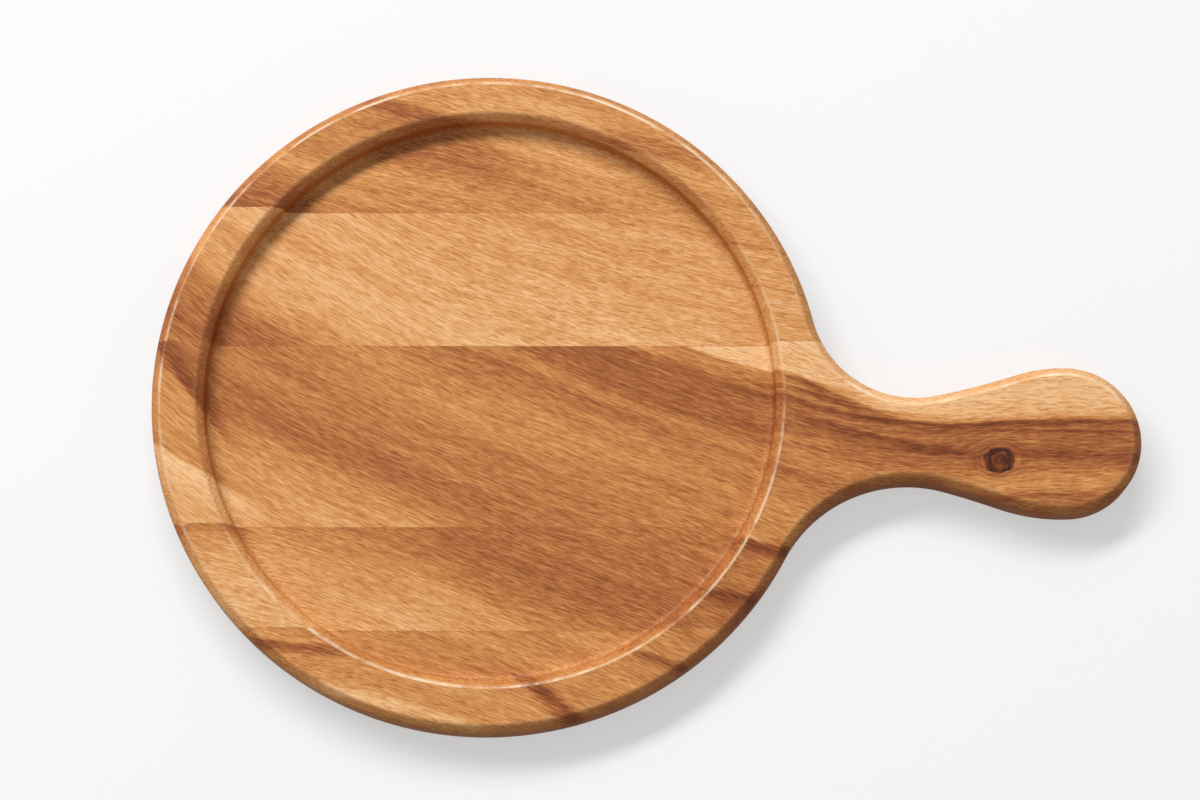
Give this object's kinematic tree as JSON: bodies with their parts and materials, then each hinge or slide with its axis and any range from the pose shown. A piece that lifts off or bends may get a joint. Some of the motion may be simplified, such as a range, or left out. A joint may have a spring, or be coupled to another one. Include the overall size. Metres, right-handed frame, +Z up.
{
  "type": "pizza serving board",
  "caption": "Round wooden serving board with a shallow round recess and a paddle handle, glued up from edge-joined hardwood staves.",
  "frame": {"origin": "middle of the round part, on the underside that the board rests on", "axes": "+X along the board toward the handle's end, +Y across the staves toward the far rim, +Z up out of the recess"},
  "size_m": [0.341, 0.232, 0.015],
  "materials": {
    "far_rim_wood": "satin varnish",
    "upper_wood": "satin varnish",
    "handle_wood": "satin varnish",
    "lower_wood": "satin varnish",
    "near_rim_wood": "satin varnish"
  },
  "bodies": {
    "root": {"far_rim_stave": "far_rim_wood", "upper_stave": "upper_wood", "handle_stave": "handle_wood", "lower_stave": "lower_wood", "near_rim_stave": "near_rim_wood"}
  },
  "joints": []
}
